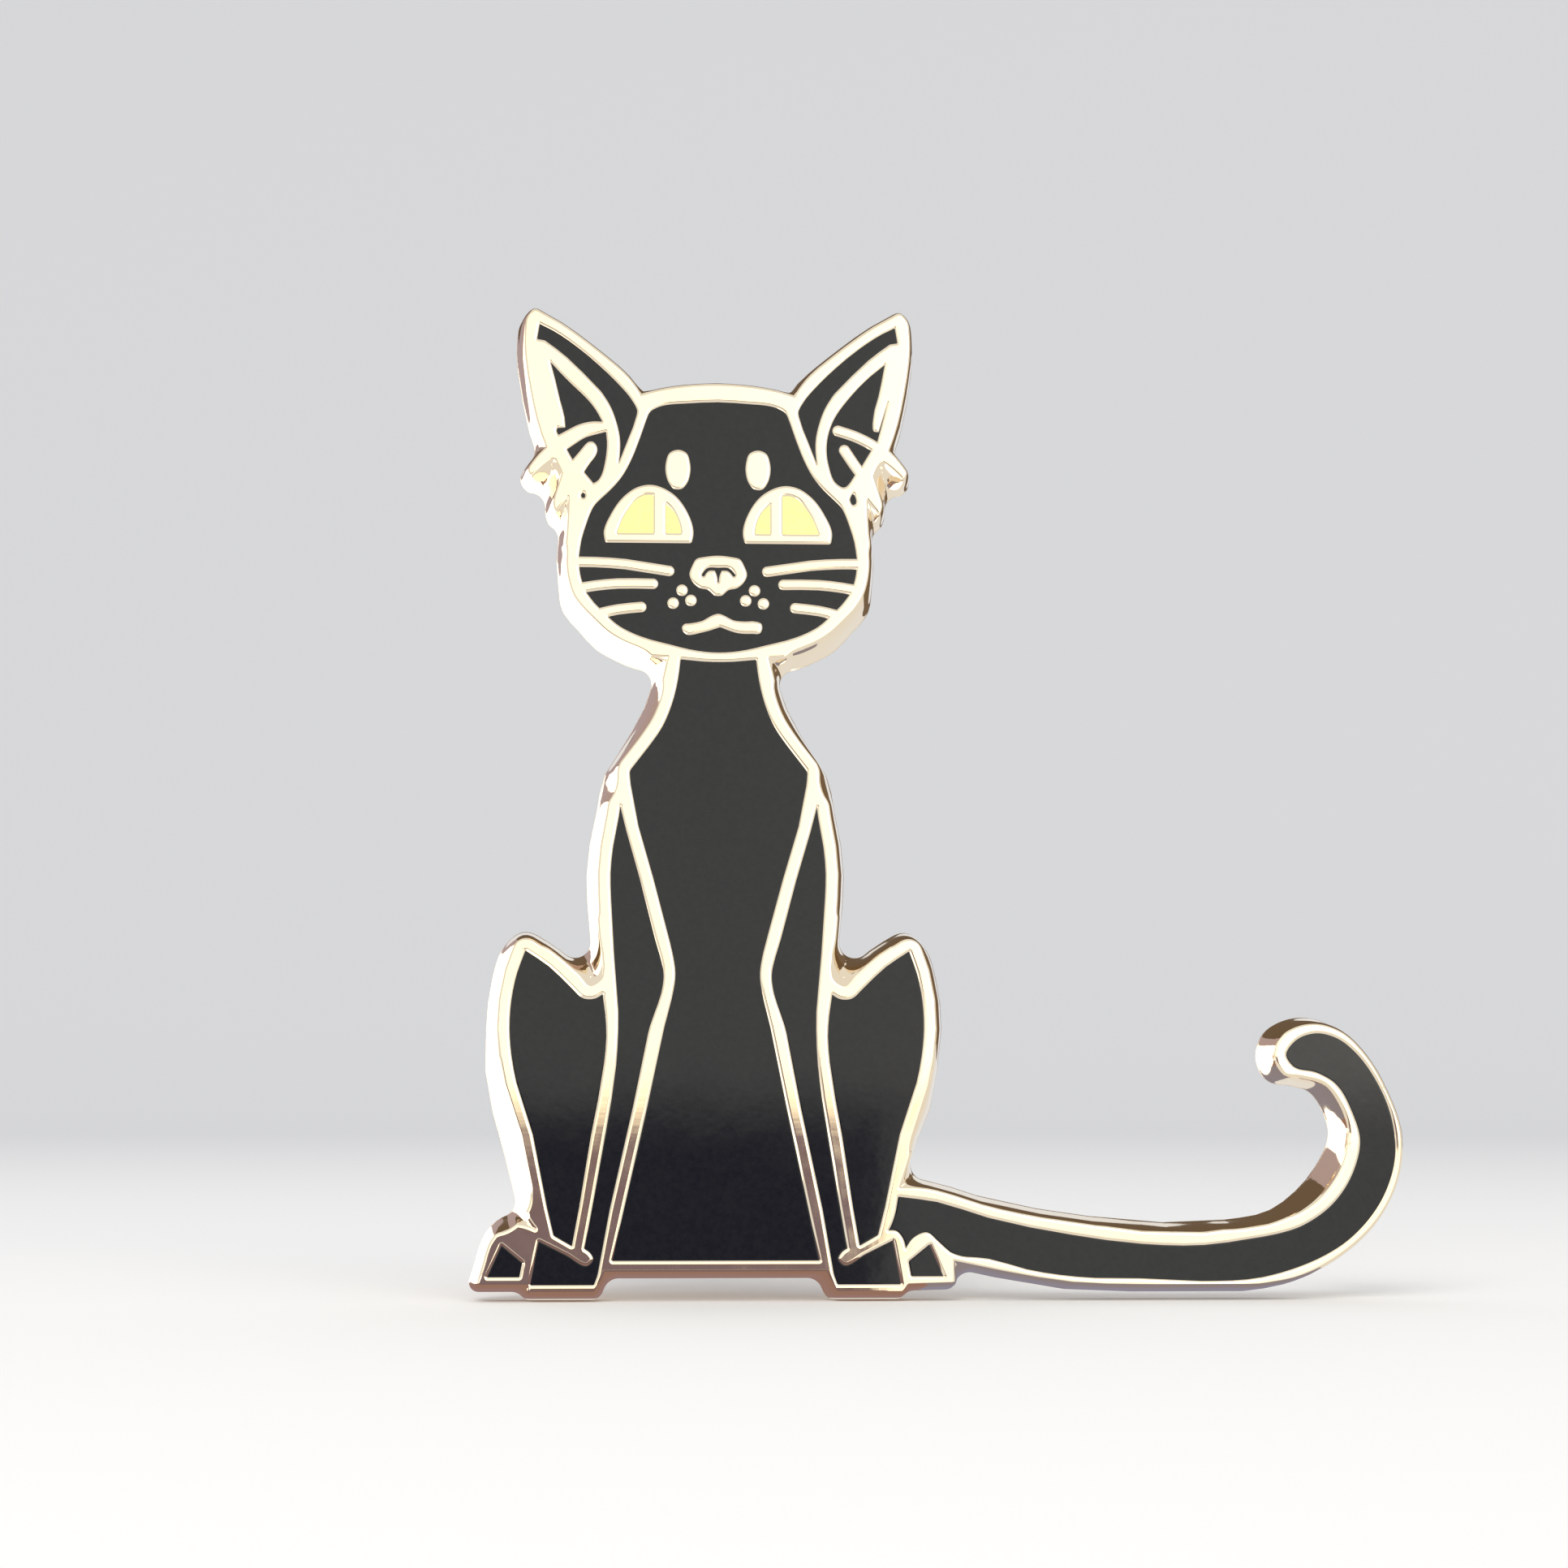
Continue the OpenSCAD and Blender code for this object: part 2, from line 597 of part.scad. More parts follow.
top_turn = 90;
bottom_turn = 0;

metal_plate();
for (name = CELLS) enamel(name);
post(top_z);  // top_post
post(bottom_z);  // bottom_post
clutch_frame(top_z, top_turn) cup();  // top_clutch_cup
clutch_frame(top_z, top_turn) spring_base();  // top_clutch_spring
clutch_frame(top_z, top_turn) window_wing();  // top_clutch_window_wing
clutch_frame(top_z, top_turn) neck_wing();  // top_clutch_neck_wing
clutch_frame(bottom_z, bottom_turn) cup();  // bottom_clutch_cup
clutch_frame(bottom_z, bottom_turn) spring_base();  // bottom_clutch_spring
clutch_frame(bottom_z, bottom_turn) window_wing();  // bottom_clutch_window_wing
clutch_frame(bottom_z, bottom_turn) neck_wing();  // bottom_clutch_neck_wing
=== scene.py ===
"""Enamel pin: a sitting cat in gold-plated metal with black enamel, two posts and butterfly clutches.

Shapes are worked out in millimetres and scaled to metres when a mesh is made. Outlines are lists of (x, z).
The plate and the enamel are rebuilt from the outlines of the CAD model's flat faces, with smooth curves,
rounded shoulders and a sloped outer wall. The posts and the clutches keep their CAD meshes.
"""
import itertools
import math

import bpy
import numpy as np
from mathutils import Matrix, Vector
from mathutils.geometry import delaunay_2d_cdt


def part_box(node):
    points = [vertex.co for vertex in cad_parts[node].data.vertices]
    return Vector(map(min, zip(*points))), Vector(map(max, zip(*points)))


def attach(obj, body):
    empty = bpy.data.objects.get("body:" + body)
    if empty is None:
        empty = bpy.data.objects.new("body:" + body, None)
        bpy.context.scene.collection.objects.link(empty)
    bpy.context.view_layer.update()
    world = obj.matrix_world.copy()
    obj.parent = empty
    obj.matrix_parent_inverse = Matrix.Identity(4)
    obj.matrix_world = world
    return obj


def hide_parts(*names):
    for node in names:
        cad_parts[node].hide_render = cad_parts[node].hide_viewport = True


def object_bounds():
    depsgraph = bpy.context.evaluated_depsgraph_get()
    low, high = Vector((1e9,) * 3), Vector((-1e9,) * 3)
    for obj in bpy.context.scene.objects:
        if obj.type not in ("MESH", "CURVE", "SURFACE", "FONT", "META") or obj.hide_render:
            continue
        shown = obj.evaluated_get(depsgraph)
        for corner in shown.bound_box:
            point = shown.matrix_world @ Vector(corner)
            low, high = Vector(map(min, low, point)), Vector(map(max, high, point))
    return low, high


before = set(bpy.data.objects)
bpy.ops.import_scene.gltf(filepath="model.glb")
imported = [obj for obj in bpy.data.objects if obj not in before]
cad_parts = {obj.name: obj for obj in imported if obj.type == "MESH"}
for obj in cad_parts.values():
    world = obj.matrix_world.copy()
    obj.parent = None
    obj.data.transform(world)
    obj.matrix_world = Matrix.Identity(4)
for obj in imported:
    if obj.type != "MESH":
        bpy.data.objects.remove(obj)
cad_low, cad_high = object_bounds()

MM = 0.001
SAME_HEIGHT = 1e-3  # two heights closer than this are the same plane
TINY = 1e-12  # keeps divisors above zero
NUDGE = 1e-9  # moves a grid value off the level of a contour
SAME_POINT = 1e-7  # two points of an outline closer than this are one

# Plate profile. A distance is measured in the plane, from the edge of the metal.
EDGE_ROUND = 0.13  # width of the rounded shoulder along every metal line
EDGE_DROP = 0.04  # how far the shoulder falls at the metal's edge
SHOULDER_RINGS = [0.04, 0.085, EDGE_ROUND]
MENISCUS_W = 0.06  # the enamel is flat beyond this distance from the metal
MENISCUS_H = 0.006  # how far the enamel rises where it meets the metal
MENISCUS_TILT = -8  # slope in degrees of the enamel at the metal
# Outer wall: (share of the way from the metal line to the rim of the back, y)
WALL = [
    (0.06, -1.435),
    (0.14, -1.385),
    (0.24, -1.30),
    (0.36, -1.16),
    (0.49, -0.97),
    (0.62, -0.73),
    (0.75, -0.46),
    (0.87, -0.20),
    (0.95, -0.06),
]
WALL_REACH = 1.6  # more than the wall's greatest width
WALL_TILT = 60
BACK_Y = 0
BACK_RIM = 0.05  # how far the flat of the back stops short of the rim
RIM_TILT = 120
RECESS_SPAN = 6.0  # an outline on the back narrower than this is a post's recess
RECESS_SIDES = 96

# Tilts of a normal, in degrees from the front
FORWARD, SIDEWAYS, BACKWARD = 0, 90, 180

# Distance fields
GRID = 0.02
MARGIN = 4 * GRID
NEAR_REACH = 0.2  # reach of the fields that serve the shoulders and the back's rim
STAMP = 1.0  # longest stretch of outline that is stamped at once
FEWEST_POINTS = 12  # a shorter contour is noise
THIN_TOLERANCE = 0.0012

# Smoothing of the CAD model's chords
SHORTEST = 1e-4
CORNER_DEG = 19.0  # a sharper turn is a corner
STEP_DEG = 3.0  # turn between two points of an arc
STRAIGHT_RATIO = 3.5  # a chord this much longer than its neighbour is a straight run


# ---- Outlines


def plane_loops(node, level):
    """Closed outlines of the CAD faces that lie at y = level."""
    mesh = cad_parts[node].data
    co = np.array([v.co for v in mesh.vertices], float) / MM
    on = np.abs(co[:, 1] - level) < SAME_HEIGHT
    edges = set()
    for face in mesh.polygons:
        if all(on[i] for i in face.vertices):
            ring = [tuple(co[i][[0, 2]]) for i in face.vertices]
            edges.update(zip(ring, ring[1:] + ring[:1]))
    follow = {}
    for a, b in edges:
        if (b, a) not in edges:
            follow.setdefault(a, []).append(b)
    loops = []
    for start in sorted(follow):
        if not follow[start]:
            continue
        ring = [start]
        while True:
            here = follow[ring[-1]].pop()
            if here == start:
                break
            ring.append(here)
        loops.append(np.array(ring))
    return loops


def unit(v):
    return v / np.maximum(np.linalg.norm(v, axis=-1, keepdims=True), TINY)


def mirrored(tangent, chord):
    """The tangent at one end of an arc, from the tangent at its other end and its chord."""
    return unit(2 * chord * (tangent @ chord) - tangent)


def arc_points(start, start_tangent, end, end_tangent, length):
    """Points on a cubic curve, from its start up to but not including its end."""
    bend = math.degrees(math.acos(max(-1.0, min(1.0, float(start_tangent @ end_tangent)))))
    count = max(1, math.ceil(bend / STEP_DEG))
    points = []
    for s in np.arange(count) / count:
        h = np.array([2 * s**3 - 3 * s**2 + 1, s**3 - 2 * s**2 + s, 3 * s**2 - 2 * s**3, s**3 - s**2])
        from_start = h[0] * start + h[1] * start_tangent * length
        points.append(from_start + h[2] * end + h[3] * end_tangent * length)
    return points


def smooth_loop(p):
    """Turns the chords of a closed outline into arcs. Corners and straight runs stay as they are."""
    p = p[np.linalg.norm(np.roll(p, -1, 0) - p, axis=1) > SHORTEST]
    chord = np.roll(p, -1, 0) - p
    length = np.linalg.norm(chord, axis=1)
    u = chord / length[:, None]
    u_before = np.roll(u, 1, 0)
    length_before = np.roll(length, 1)
    corner = np.degrees(np.arccos(np.clip((u_before * u).sum(1), -1, 1))) > CORNER_DEG
    tangent = unit(u_before * length[:, None] + u * length_before[:, None])
    straight_after = length > STRAIGHT_RATIO * length_before
    straight_before = length_before > STRAIGHT_RATIO * length
    tangent[straight_after] = u[straight_after]
    tangent[straight_before] = u_before[straight_before]
    out = []
    for i in range(len(p)):
        j = (i + 1) % len(p)
        t0 = tangent[i]
        t1 = tangent[j]
        if corner[i] and corner[j]:
            t0 = t1 = u[i]
        elif corner[i]:
            t0 = mirrored(t1, u[i])
        elif corner[j]:
            t1 = mirrored(t0, u[i])
        out += arc_points(p[i], t0, p[j], t1, length[i])
    return np.array(out)


def loop_normals(p):
    """Unit normals to the left of the direction of travel of a closed outline."""
    u = unit(np.roll(p, -1, 0) - p)
    mean = unit(u + np.roll(u, 1, 0))
    return np.stack([-mean[:, 1], mean[:, 0]], 1)


def signed_area(p):
    q = np.roll(p, -1, 0)
    return float((p[:, 0] * q[:, 1] - q[:, 0] * p[:, 1]).sum() / 2)


def largest(loops):
    return max(loops, key=lambda p: abs(signed_area(p)))


def anticlockwise(loops):
    """Turns a set of outlines over, if needed, so that the largest runs anticlockwise."""
    return loops if signed_area(largest(loops)) > 0 else [p[::-1] for p in loops]


def inside(points, loops):
    """Even-odd test of many points against closed outlines."""
    odd = np.zeros(len(points), bool)
    x, z = points[:, 0], points[:, 1]
    for p in loops:
        for (ax, az), (bx, bz) in zip(p, np.roll(p, -1, 0)):
            if az == bz:
                continue
            cross = (z >= min(az, bz)) & (z < max(az, bz))
            odd ^= cross & (x > ax + (z - az) * (bx - ax) / (bz - az))
    return odd


def thin_out(p, tolerance):
    """Drops the points of a closed outline that lie within tolerance of the line past them."""
    far = int(np.argmax(np.linalg.norm(p - p[0], axis=1)))
    keep = {0, far}
    closed = np.concatenate([p, p[:1]])
    stack = [(0, far), (far, len(p))]
    while stack:
        a, b = stack.pop()
        if b - a < 2:
            continue
        d = closed[b] - closed[a]
        length = max(float(np.hypot(*d)), TINY)
        off = closed[a + 1 : b] - closed[a]
        away = np.abs(off[:, 0] * d[1] - off[:, 1] * d[0]) / length
        worst = int(np.argmax(away))
        if away[worst] > tolerance:
            middle = a + 1 + worst
            keep.add(middle)
            stack += [(a, middle), (middle, b)]
    return p[sorted(keep)]


# Marching squares: the sides of a square, and the steps across it for each set of high corners.
# The corners count 1, 2, 4 and 8, anticlockwise from the bottom left.
BOTTOM, RIGHT, TOP, LEFT = 0, 1, 2, 3
STEPS = {
    1: [(BOTTOM, LEFT)],
    2: [(RIGHT, BOTTOM)],
    3: [(RIGHT, LEFT)],
    4: [(TOP, RIGHT)],
    5: [(BOTTOM, LEFT), (TOP, RIGHT)],
    6: [(TOP, BOTTOM)],
    7: [(TOP, LEFT)],
    8: [(LEFT, TOP)],
    9: [(BOTTOM, TOP)],
    10: [(RIGHT, BOTTOM), (LEFT, TOP)],
    11: [(RIGHT, TOP)],
    12: [(LEFT, RIGHT)],
    13: [(BOTTOM, RIGHT)],
    14: [(LEFT, BOTTOM)],
}


class Field:
    """Signed distance to a set of outlines on a fine grid, positive in their even-odd area.

    The grid covers the outlines of extent, or its own. Distances stop growing at reach.
    """

    def __init__(self, loops, reach, extent=None):
        every = np.concatenate(extent or loops)
        self.low = every.min(0) - reach - MARGIN
        size = np.ceil((every.max(0) + reach + MARGIN - self.low) / GRID).astype(int) + 1
        self.value = np.full(size, float(reach))
        toggles = np.zeros((size[0] + 1, size[1]), np.int32)
        for p in loops:
            for a, b in zip(p, np.roll(p, -1, 0)):
                pieces = max(1, int(np.linalg.norm(b - a) / STAMP))
                cuts = [a + (b - a) * k / pieces for k in range(pieces + 1)]
                for c, d in zip(cuts, cuts[1:]):
                    self._stamp(c, d, reach)
                self._toggle(toggles, a, b)
        odd = np.cumsum(toggles[:-1], 0) % 2 == 1
        self.value[~odd] *= -1

    def _stamp(self, a, b, reach):
        """Lowers the grid around a segment to its distance from the segment."""
        lo = np.floor((np.minimum(a, b) - reach - self.low) / GRID).astype(int)
        hi = np.ceil((np.maximum(a, b) + reach - self.low) / GRID).astype(int) + 1
        hi = np.minimum(hi, self.value.shape)
        lo = np.maximum(lo, 0)
        x = (self.low[0] + np.arange(lo[0], hi[0]) * GRID)[:, None] - a[0]
        z = (self.low[1] + np.arange(lo[1], hi[1]) * GRID)[None, :] - a[1]
        d = b - a
        t = np.clip((x * d[0] + z * d[1]) / max(d @ d, TINY), 0, 1)
        window = self.value[lo[0] : hi[0], lo[1] : hi[1]]
        np.minimum(window, np.hypot(x - t * d[0], z - t * d[1]), out=window)

    def _toggle(self, toggles, a, b):
        """Marks, in each row of the grid, where a segment crosses it."""
        if a[1] == b[1]:
            return
        lo, hi = (a, b) if a[1] < b[1] else (b, a)
        first = math.ceil((lo[1] - self.low[1]) / GRID)
        rows = np.arange(first, math.ceil((hi[1] - self.low[1]) / GRID))
        z = self.low[1] + rows * GRID
        x = lo[0] + (z - lo[1]) * (hi[0] - lo[0]) / (hi[1] - lo[1])
        columns = np.ceil((x - self.low[0]) / GRID).astype(int)
        np.add.at(toggles, (columns, rows), 1)

    def contours(self, level):
        """Closed outlines where the value is level, with the higher side on the left."""
        f = self.value - level
        f[f == 0] = NUDGE
        s = f > 0
        code = s[:-1, :-1] + 2 * s[1:, :-1] + 4 * s[1:, 1:] + 8 * s[:-1, 1:]
        rows = self.value.shape[1]
        follow = {}
        for case, steps in STEPS.items():
            i, j = np.nonzero(code == case)
            # A grid line's number: even along x, odd along z, from its lower left end
            here = 2 * (i * rows + j)
            side = [here, 2 * ((i + 1) * rows + j) + 1, here + 2, here + 1]
            for a, b in steps:
                follow.update(zip(side[a].tolist(), side[b].tolist()))
        loops = []
        while follow:
            start, here = follow.popitem()
            ring = [start]
            while here != start:
                ring.append(here)
                here = follow.pop(here)
            ids = np.array(ring)
            i, j = np.divmod(ids // 2, rows)
            along_z = ids % 2
            f0 = f[i, j]
            t = f0 / (f0 - f[i + 1 - along_z, j + along_z])
            points = self.low + GRID * np.stack([i + t * (1 - along_z), j + t * along_z], 1)
            if len(points) > FEWEST_POINTS:
                loops.append(thin_out(points, THIN_TOLERANCE))
        return loops


# ---- Meshes


class Surface:
    """Collects vertices with their normals, and faces, in millimetres."""

    def __init__(self):
        self.co, self.normal, self.faces = [], [], []

    def add(self, points, y, normals, tilt_deg):
        """A ring of points at one height. Its normal leans tilt_deg from the front towards normals."""
        first = len(self.co)
        lean = math.sin(math.radians(tilt_deg))
        face = -math.cos(math.radians(tilt_deg))
        for p, n in zip(points, normals):
            self.co.append((p[0], y, p[1]))
            self.normal.append((n[0] * lean, face, n[1] * lean))
        return list(range(first, first + len(points)))

    def fill(self, rings, keep, flip=False):
        """Triangles between rings of vertex numbers, where keep(centres) says yes."""
        ids = [i for ring in rings for i in ring]
        flat = [Vector((self.co[i][0], self.co[i][2])) for i in ids]
        edges, at = [], 0
        for ring in rings:
            n = len(ring)
            edges += [(at + k, at + (k + 1) % n) for k in range(n)]
            at += n
        verts, _, faces, origin, _, _ = delaunay_2d_cdt(flat, edges, [], 0, SAME_POINT, True)
        number = []
        for v, source in zip(verts, origin):
            if source:
                number.append(ids[source[0]])
                continue
            near = min(ids, key=lambda i: (self.co[i][0] - v[0]) ** 2 + (self.co[i][2] - v[1]) ** 2)
            self.co.append((v[0], self.co[near][1], v[1]))
            self.normal.append(self.normal[near])
            number.append(len(self.co) - 1)
        centres = np.array([sum((np.array(verts[i]) for i in f), np.zeros(2)) / 3 for f in faces])
        for f, wanted in zip(faces, keep(centres)):
            if wanted and len({number[i] for i in f}) == 3:
                ring = [number[i] for i in f]
                self.faces.append(ring[::-1] if flip else ring)

    def smooth_normals(self, ids, first_face):
        """Gives the vertices the mean normal of the faces made since first_face."""
        co = np.array(self.co)
        total = np.zeros_like(co)
        tris = np.array(self.faces[first_face:])
        for corner in range(3):
            a, b, c = (co[tris[:, (corner + k) % 3]] for k in range(3))
            normal = unit(np.cross(b - a, c - a))
            angle = np.arccos(np.clip((unit(b - a) * unit(c - a)).sum(1), -1, 1))
            np.add.at(total, tris[:, corner], normal * angle[:, None])
        for i in ids:
            if np.linalg.norm(total[i]) > 0:
                self.normal[i] = tuple(unit(total[i]))

    def strip(self, a, b):
        """Quads between two rings of the same length."""
        n = len(a)
        self.faces += [[a[k], a[(k + 1) % n], b[(k + 1) % n], b[k]] for k in range(n)]

    def object(self, name):
        mesh = bpy.data.meshes.new(name)
        mesh.from_pydata([(x * MM, y * MM, z * MM) for x, y, z in self.co], [], self.faces)
        mesh.validate()
        mesh.update()
        for face in mesh.polygons:
            face.use_smooth = True
        mesh.normals_split_custom_set_from_vertices([Vector(n).normalized() for n in self.normal])
        made = bpy.data.objects.new(name, mesh)
        bpy.context.scene.collection.objects.link(made)
        return made


# ---- Plate

front = min(v.co.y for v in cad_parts["metal_plate"].data.vertices) / MM
cell_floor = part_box("face_enamel")[1].y / MM
enamel_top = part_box("face_enamel")[0].y / MM
recess_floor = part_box("top_post")[0].y / MM

metal = anticlockwise([smooth_loop(p) for p in plane_loops("metal_plate", front)])
outline = largest(metal)
cells = [p for p in metal if p is not outline]
metal_field = Field(metal, NEAR_REACH)
rim_outline = smooth_loop(anticlockwise([largest(plane_loops("metal_plate", BACK_Y))])[0])


def tilt_at(distance):
    """Slope in degrees of the rounded shoulder at a distance from the metal's edge."""
    return math.degrees(math.atan(2 * EDGE_DROP / EDGE_ROUND * (1 - distance / EDGE_ROUND)))


def drop_at(distance):
    return EDGE_DROP * (1 - distance / EDGE_ROUND) ** 2


def add_front(plate):
    """The metal lines, with a rounded shoulder along each edge. Gives the ring along the outline."""
    rings = []
    for p in metal:
        rings.append(plate.add(p, front + drop_at(0), -loop_normals(p), tilt_at(0)))
        if p is outline:
            outline_ring = rings[-1]
    for distance in SHOULDER_RINGS:
        for p in metal_field.contours(distance):
            rings.append(plate.add(p, front + drop_at(distance), -loop_normals(p), tilt_at(distance)))
    plate.fill(rings, lambda c: inside(c, metal))
    return outline_ring


def add_cells(plate):
    """Walls down to the floor that the enamel lies on."""
    floor_rings = []
    for p in cells:
        top = plate.add(p, front + drop_at(0), -loop_normals(p), SIDEWAYS)
        foot = plate.add(p, cell_floor, -loop_normals(p), SIDEWAYS)
        plate.strip(foot, top)
        floor_rings.append(plate.add(p, cell_floor, -loop_normals(p), FORWARD))
    plate.fill(floor_rings, lambda c: inside(c, [outline]) & ~inside(c, metal))


def wall_field():
    """Field of minus the share of the way from the metal line (0) to the rim of the back (1)."""
    field = Field([rim_outline], WALL_REACH)
    from_line = -Field([outline], WALL_REACH, [rim_outline]).value
    to_rim = field.value
    between = (from_line > 0) & (to_rim > 0)
    beyond = 0.3  # outside the wall, this distance counts as one whole share
    share = np.where(from_line <= 0, from_line / beyond, 1 - to_rim / beyond)
    share[between] = (from_line / np.maximum(from_line + to_rim, TINY))[between]
    field.value = -share
    return field


def add_wall(plate, outline_ring):
    """The sloped outer wall, from the outline down to the rim of the back."""
    field = wall_field()
    rings = [outline_ring]
    for share, y in WALL:
        for p in field.contours(-share):
            if signed_area(p) > 0:
                rings.append(plate.add(p, y, -loop_normals(p), WALL_TILT))
    rings.append(plate.add(rim_outline, BACK_Y, -loop_normals(rim_outline), SIDEWAYS))
    first_face = len(plate.faces)
    plate.fill(rings, lambda c: inside(c, [rim_outline]) & ~inside(c, [outline]))
    plate.smooth_normals([i for ring in rings[1:-1] for i in ring], first_face)


def add_back(plate):
    """The flat back with its rounded rim, and a round recess for the flange of each post."""
    flat = max(Field([rim_outline], NEAR_REACH).contours(BACK_RIM), key=signed_area)
    flat_ring = plate.add(flat, BACK_Y, -loop_normals(flat), BACKWARD)
    edge_ring = plate.add(rim_outline, BACK_Y, -loop_normals(rim_outline), RIM_TILT)
    plate.fill([edge_ring, flat_ring], lambda c: inside(c, [rim_outline]) & ~inside(c, [flat]), flip=True)
    turn = np.arange(RECESS_SIDES) / RECESS_SIDES * 2 * math.pi
    out = np.stack([np.cos(turn), np.sin(turn)], 1)
    rings = [flat_ring]
    holes = []
    for p in plane_loops("metal_plate", BACK_Y):
        if np.ptp(p[:, 0]) > RECESS_SPAN:
            continue
        centre = p.mean(0)
        circle = centre + float(np.linalg.norm(p - centre, axis=1).mean()) * out
        holes.append(circle)
        rings.append(plate.add(circle, BACK_Y, out, BACKWARD))
        mouth = plate.add(circle, BACK_Y, -out, SIDEWAYS)
        foot = plate.add(circle, recess_floor, -out, SIDEWAYS)
        plate.strip(mouth, foot)
        bottom = plate.add(circle, recess_floor, out, BACKWARD)
        plate.fill([bottom], lambda c: np.ones(len(c), bool), flip=True)
    plate.fill(rings, lambda c: inside(c, [flat]) & ~inside(c, holes), flip=True)


plate = Surface()
plate_outline = add_front(plate)
add_cells(plate)
add_wall(plate, plate_outline)
add_back(plate)
metal_piece = plate.object("pin_plate")


# ---- Enamel

METALWORK = ("metal_plate", "post", "clutch")
ENAMELS = sorted(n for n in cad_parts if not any(word in n for word in METALWORK))
flat_loops = [p for p in metal_field.contours(-MENISCUS_W) if inside(p[:1], [outline])[0]]


def bounds_enamel(p, shape):
    """Whether an outline bounds the enamel whose CAD outlines are in shape.

    It does if it stays in their box, and many of the points just beside it are in the enamel.
    """
    slack = 0.05
    beside = 0.004
    many = 0.3
    every = np.concatenate(shape)
    if (p.min(0) < every.min(0) - slack).any() or (p.max(0) > every.max(0) + slack).any():
        return False
    step = loop_normals(p) * beside
    return bool(inside(np.concatenate([p + step, p - step]), shape).mean() > many)


def make_enamel(name):
    """One fill of a cell or more, with a slight rise where it meets the metal."""
    shape = plane_loops(name, enamel_top)
    bounds = [p for p in cells if bounds_enamel(p, shape)]
    body = Surface()
    top_y = enamel_top - MENISCUS_H
    top_rings = [body.add(p, top_y, -loop_normals(p), MENISCUS_TILT) for p in bounds]
    for p in flat_loops:
        if inside(p[:1], bounds)[0]:
            top_rings.append(body.add(p, enamel_top, -loop_normals(p), FORWARD))
    body.fill(top_rings, lambda c: inside(c, bounds))
    base_rings = []
    for p in bounds:
        rim_top = body.add(p, top_y, loop_normals(p), SIDEWAYS)
        rim_foot = body.add(p, cell_floor, loop_normals(p), SIDEWAYS)
        body.strip(rim_top, rim_foot)
        base_rings.append(body.add(p, cell_floor, loop_normals(p), BACKWARD))
    body.fill(base_rings, lambda c: inside(c, bounds), flip=True)
    return body.object("enamel_" + name)


enamel_pieces = {name: make_enamel(name) for name in ENAMELS}


# ---- Materials. Their distances are in metres, and their scales are per metre.


def new_material(name):
    material = bpy.data.materials.new(name)
    material.use_nodes = True
    tree = material.node_tree
    return material, tree, tree.nodes["Principled BSDF"]


def add(tree, kind, **settings):
    node = tree.nodes.new(kind)
    for key, value in settings.items():
        setattr(node, key, value)
    return node


def object_place(tree):
    return add(tree, "ShaderNodeTexCoord").outputs["Object"]


def grey(value):
    return (value, value, value)


def ramp(tree, source, stops):
    """A colour that follows the source through stops of (place, colour)."""
    node = add(tree, "ShaderNodeValToRGB")
    tree.links.new(source, node.inputs["Fac"])
    elements = node.color_ramp.elements
    while len(elements) < len(stops):
        elements.new(0.5)
    for element, (place, colour) in zip(elements, stops):
        element.position = place
        element.color = (*colour, 1.0)
    return node.outputs["Color"]


def map_range(tree, source, low, high):
    """Goes from 0 to 1 while the source goes from low to high."""
    node = add(tree, "ShaderNodeMapRange")
    node.inputs["From Min"].default_value = low
    node.inputs["From Max"].default_value = high
    tree.links.new(source, node.inputs["Value"])
    return node.outputs[0]


def noise(tree, place, scale, detail, roughness, stretch=None, turn=(0.0, 0.0, 0.0)):
    """A noise pattern. stretch and turn lay it in one direction, as hairline scratches lie."""
    source = place
    if stretch:
        mapping = add(tree, "ShaderNodeMapping")
        mapping.inputs["Scale"].default_value = stretch
        mapping.inputs["Rotation"].default_value = turn
        tree.links.new(place, mapping.inputs["Vector"])
        source = mapping.outputs["Vector"]
    node = add(tree, "ShaderNodeTexNoise")
    node.inputs["Scale"].default_value = scale
    node.inputs["Detail"].default_value = detail
    node.inputs["Roughness"].default_value = roughness
    tree.links.new(source, node.inputs["Vector"])
    return node.outputs["Fac"]


def bump(tree, heights):
    """Chains bump nodes: (height socket, distance, strength)."""
    last = None
    for socket, distance, strength in heights:
        node = add(tree, "ShaderNodeBump")
        node.inputs["Strength"].default_value = strength
        node.inputs["Distance"].default_value = distance
        tree.links.new(socket, node.inputs["Height"])
        if last:
            tree.links.new(last, node.inputs["Normal"])
        last = node.outputs["Normal"]
    return last


def add_satin_back(tree, shader, place):
    """Leaves the flat back as struck: satin, with a fine stipple. Gives the stipple's relief."""
    split = add(tree, "ShaderNodeSeparateXYZ")
    tree.links.new(place, split.inputs[0])
    on_back = map_range(tree, split.outputs["Y"], -0.12 * MM, -0.02 * MM)
    mix = add(tree, "ShaderNodeMix", data_type="FLOAT")
    polished, satin = mix.inputs[2], mix.inputs[3]
    tree.links.new(on_back, mix.inputs["Factor"])
    tree.links.new(shader.inputs["Roughness"].links[0].from_socket, polished)
    cloud = noise(tree, place, 600.0, 4.0, 0.6)
    tree.links.new(ramp(tree, cloud, [(0.3, grey(0.30)), (0.75, grey(0.42))]), satin)
    tree.links.new(mix.outputs[0], shader.inputs["Roughness"])
    grain = add(tree, "ShaderNodeMath", operation="MULTIPLY")
    tree.links.new(noise(tree, place, 3800.0, 2.0, 0.5), grain.inputs[0])
    tree.links.new(on_back, grain.inputs[1])
    return (grain.outputs[0], 1.2e-5, 1.0)


